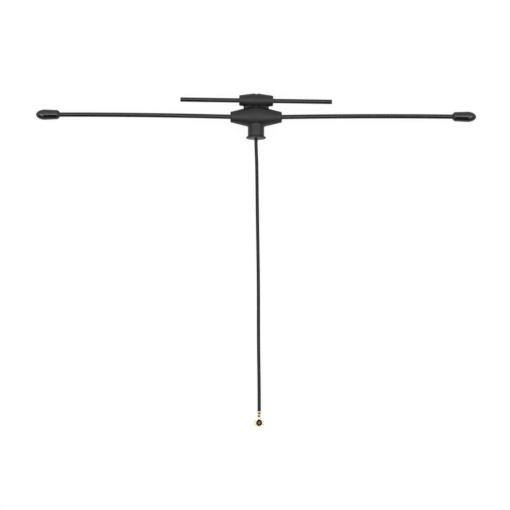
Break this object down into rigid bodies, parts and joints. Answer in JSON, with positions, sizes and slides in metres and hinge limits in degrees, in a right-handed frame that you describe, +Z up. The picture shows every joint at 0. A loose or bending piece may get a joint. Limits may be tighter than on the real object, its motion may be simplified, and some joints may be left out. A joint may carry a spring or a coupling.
{
  "type": "t-type rc antenna",
  "caption": "T-shaped two-band radio-control antenna: long dipole with bullet tip caps, double-cone feed housing, short parallel element and thin coaxial cable with a push-on plug.",
  "frame": {"origin": "on the table under the middle of the feed housing, at the bottom centre of the antenna's box without its cable and plug", "axes": "+X along the dipole, -Y along the neck and the cable towards the plug, +Z up from the table"},
  "size_m": [0.15, 0.1128, 0.0074],
  "materials": {
    "housing_polymer": "moulded satin black polymer, fine matt grain",
    "sheath_nylon": "extruded semi-gloss black nylon",
    "cap_rubber": "dipped glossy black PVC",
    "wire_steel": "drawn spring wire",
    "board_laminate": "glass-epoxy laminate",
    "copper": "bare copper foil",
    "solder": "bright tin solder",
    "cable_jacket": "extruded black fluoropolymer jacket",
    "cable_braid": "woven tinned copper braid",
    "cable_dielectric": "milky white fluoropolymer",
    "cable_conductor": "stranded silvered copper",
    "plug_gold": "stamped bronze with bright pale gold plating",
    "plug_polymer": "black liquid-crystal polymer"
  },
  "bodies": {
    "root": {"main_housing": "housing_polymer", "short_element_holder": "housing_polymer", "dipole_sheath_left": "sheath_nylon", "dipole_sheath_right": "sheath_nylon", "short_element_sheath": "sheath_nylon", "tip_cap_left": "cap_rubber", "tip_cap_right": "cap_rubber", "dipole_wire_left": "wire_steel", "dipole_wire_right": "wire_steel", "short_element_wire": "wire_steel", "feed_board": "board_laminate", "feed_earth_copper": "copper", "feed_signal_copper": "copper", "solder_joints": "solder", "coax_cable": "cable_jacket", "coax_feed_jacket": "cable_jacket", "coax_plug_jacket": "cable_jacket", "coax_feed_braid": "cable_braid", "coax_plug_braid": "cable_braid", "coax_feed_dielectric": "cable_dielectric", "coax_plug_dielectric": "cable_dielectric", "coax_feed_conductor": "cable_conductor", "coax_plug_conductor": "cable_conductor", "plug_shell": "plug_gold", "plug_contact": "plug_gold", "plug_insulator": "plug_polymer"}
  },
  "joints": []
}
